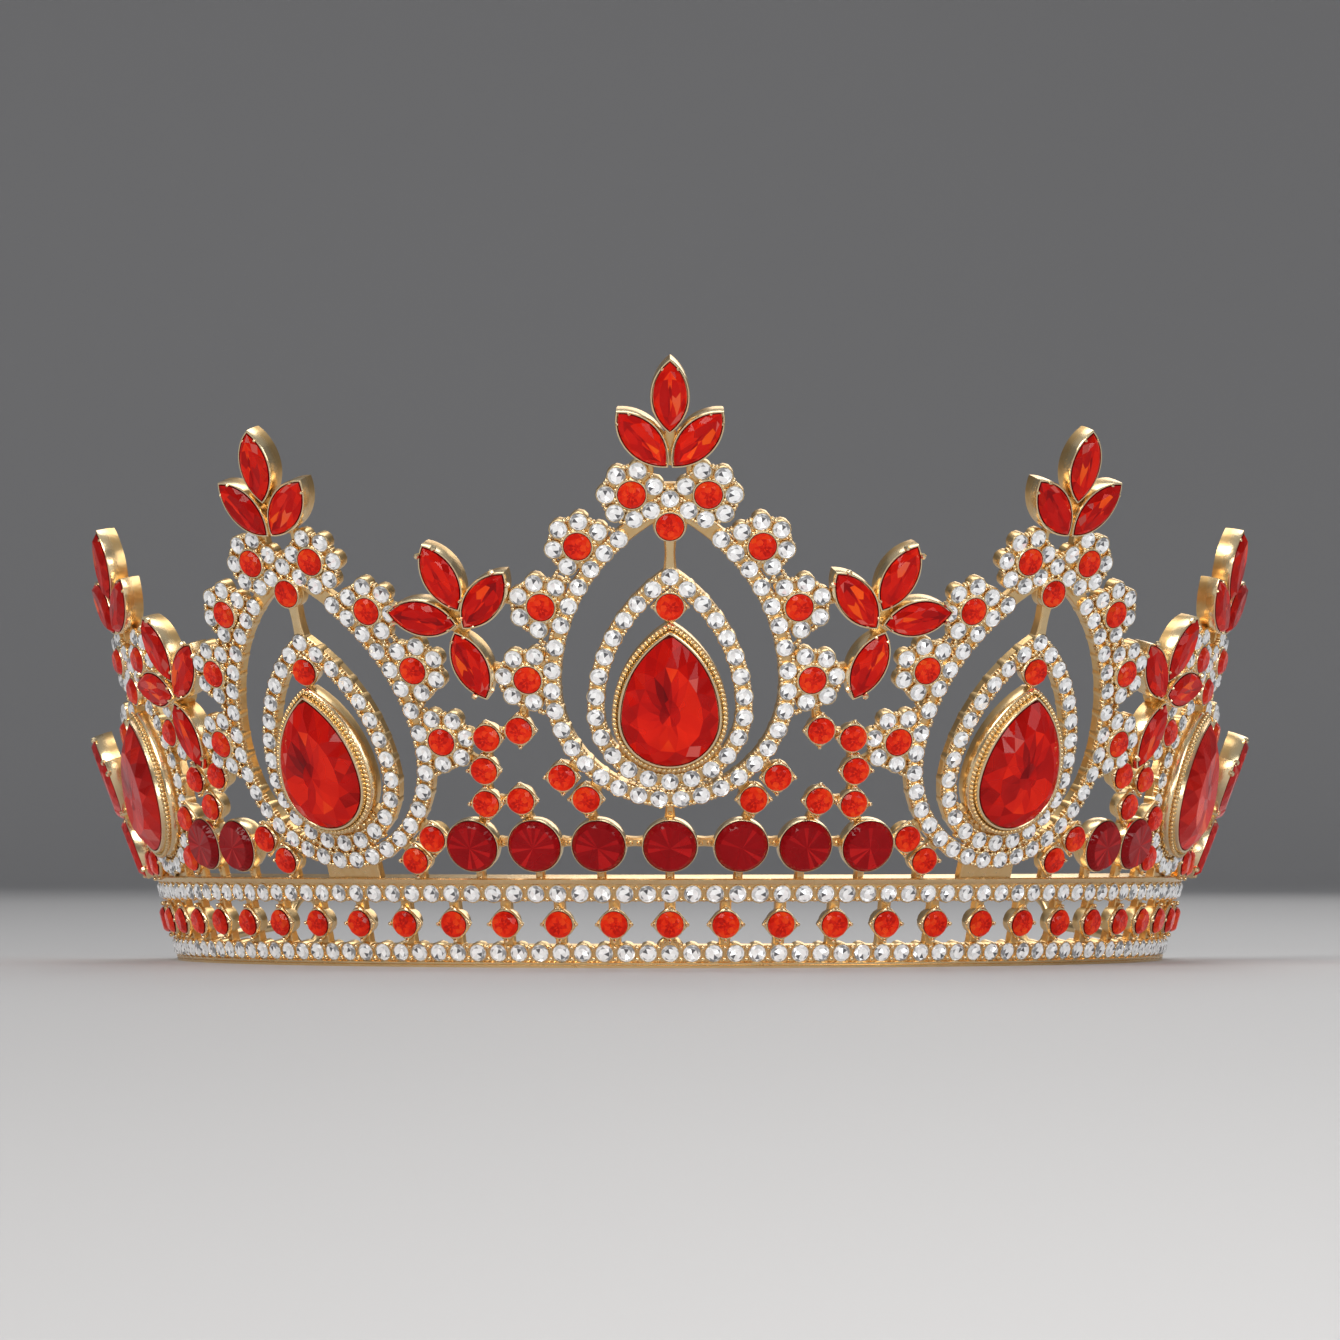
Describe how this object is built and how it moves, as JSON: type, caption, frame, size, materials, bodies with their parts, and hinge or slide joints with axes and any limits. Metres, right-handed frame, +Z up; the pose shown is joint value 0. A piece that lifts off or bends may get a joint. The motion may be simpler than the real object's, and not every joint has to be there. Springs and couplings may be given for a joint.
{
  "type": "queen crown",
  "caption": "Open, flaring crown of pale gold cast metal with pear-shaped peaks, red stones and small clear stones, ending in two looped wires; stands on its flat rim.",
  "frame": {"origin": "centre of the rim's circle, on the plane that the crown stands on", "axes": "the front peak faces -Y, +X is to the right as seen from the front, +Z is up"},
  "size_m": [0.1676, 0.1462, 0.0817],
  "materials": {
    "gold": "polished cast metal, pale champagne gold",
    "wire": "smooth drawn wire, pale gold",
    "small_red": "round faceted red glass, foil-backed",
    "large_red": "pear-shaped faceted red glass, foil-backed",
    "pointed_red": "pointed faceted red glass, foil-backed",
    "ruby": "large round faceted darker red glass, foil-backed"
  },
  "bodies": {
    "root": {"crown_frame": "gold", "wire_left": "wire", "wire_right": "wire", "band_stones": "small_red", "pear_stone_far_left": "large_red", "pear_stone_left": "large_red", "pear_stone_centre": "large_red", "pear_stone_right": "large_red", "pear_stone_far_right": "large_red", "leaf_stone_far_left_top": "pointed_red", "leaf_stone_far_left_right": "pointed_red", "leaf_stone_far_left_left": "pointed_red", "leaf_stone_left_top": "pointed_red", "leaf_stone_left_right": "pointed_red", "leaf_stone_left_left": "pointed_red", "leaf_stone_centre_top": "pointed_red", "leaf_stone_centre_right": "pointed_red", "leaf_stone_centre_left": "pointed_red", "leaf_stone_right_top": "pointed_red", "leaf_stone_right_right": "pointed_red", "leaf_stone_right_left": "pointed_red", "leaf_stone_far_right_top": "pointed_red", "leaf_stone_far_right_right": "pointed_red", "leaf_stone_far_right_left": "pointed_red", "small_stones_far_left": "small_red", "small_stones_left": "small_red", "small_stones_centre": "small_red", "small_stones_right": "small_red", "small_stones_far_right": "small_red", "round_stone_1": "ruby", "round_stone_2": "ruby", "round_stone_3": "ruby", "round_stone_4": "ruby", "round_stone_5": "ruby", "round_stone_6": "ruby", "round_stone_7": "ruby", "round_stone_8": "ruby", "round_stone_9": "ruby", "round_stone_10": "ruby", "round_stone_11": "ruby", "petal_stones_1": "pointed_red", "petal_stones_2": "pointed_red", "petal_stones_3": "pointed_red", "petal_stones_4": "pointed_red", "petal_stones_5": "pointed_red", "petal_stones_6": "pointed_red", "chain_stones_left": "small_red", "chain_stones_right": "small_red"}
  },
  "joints": []
}
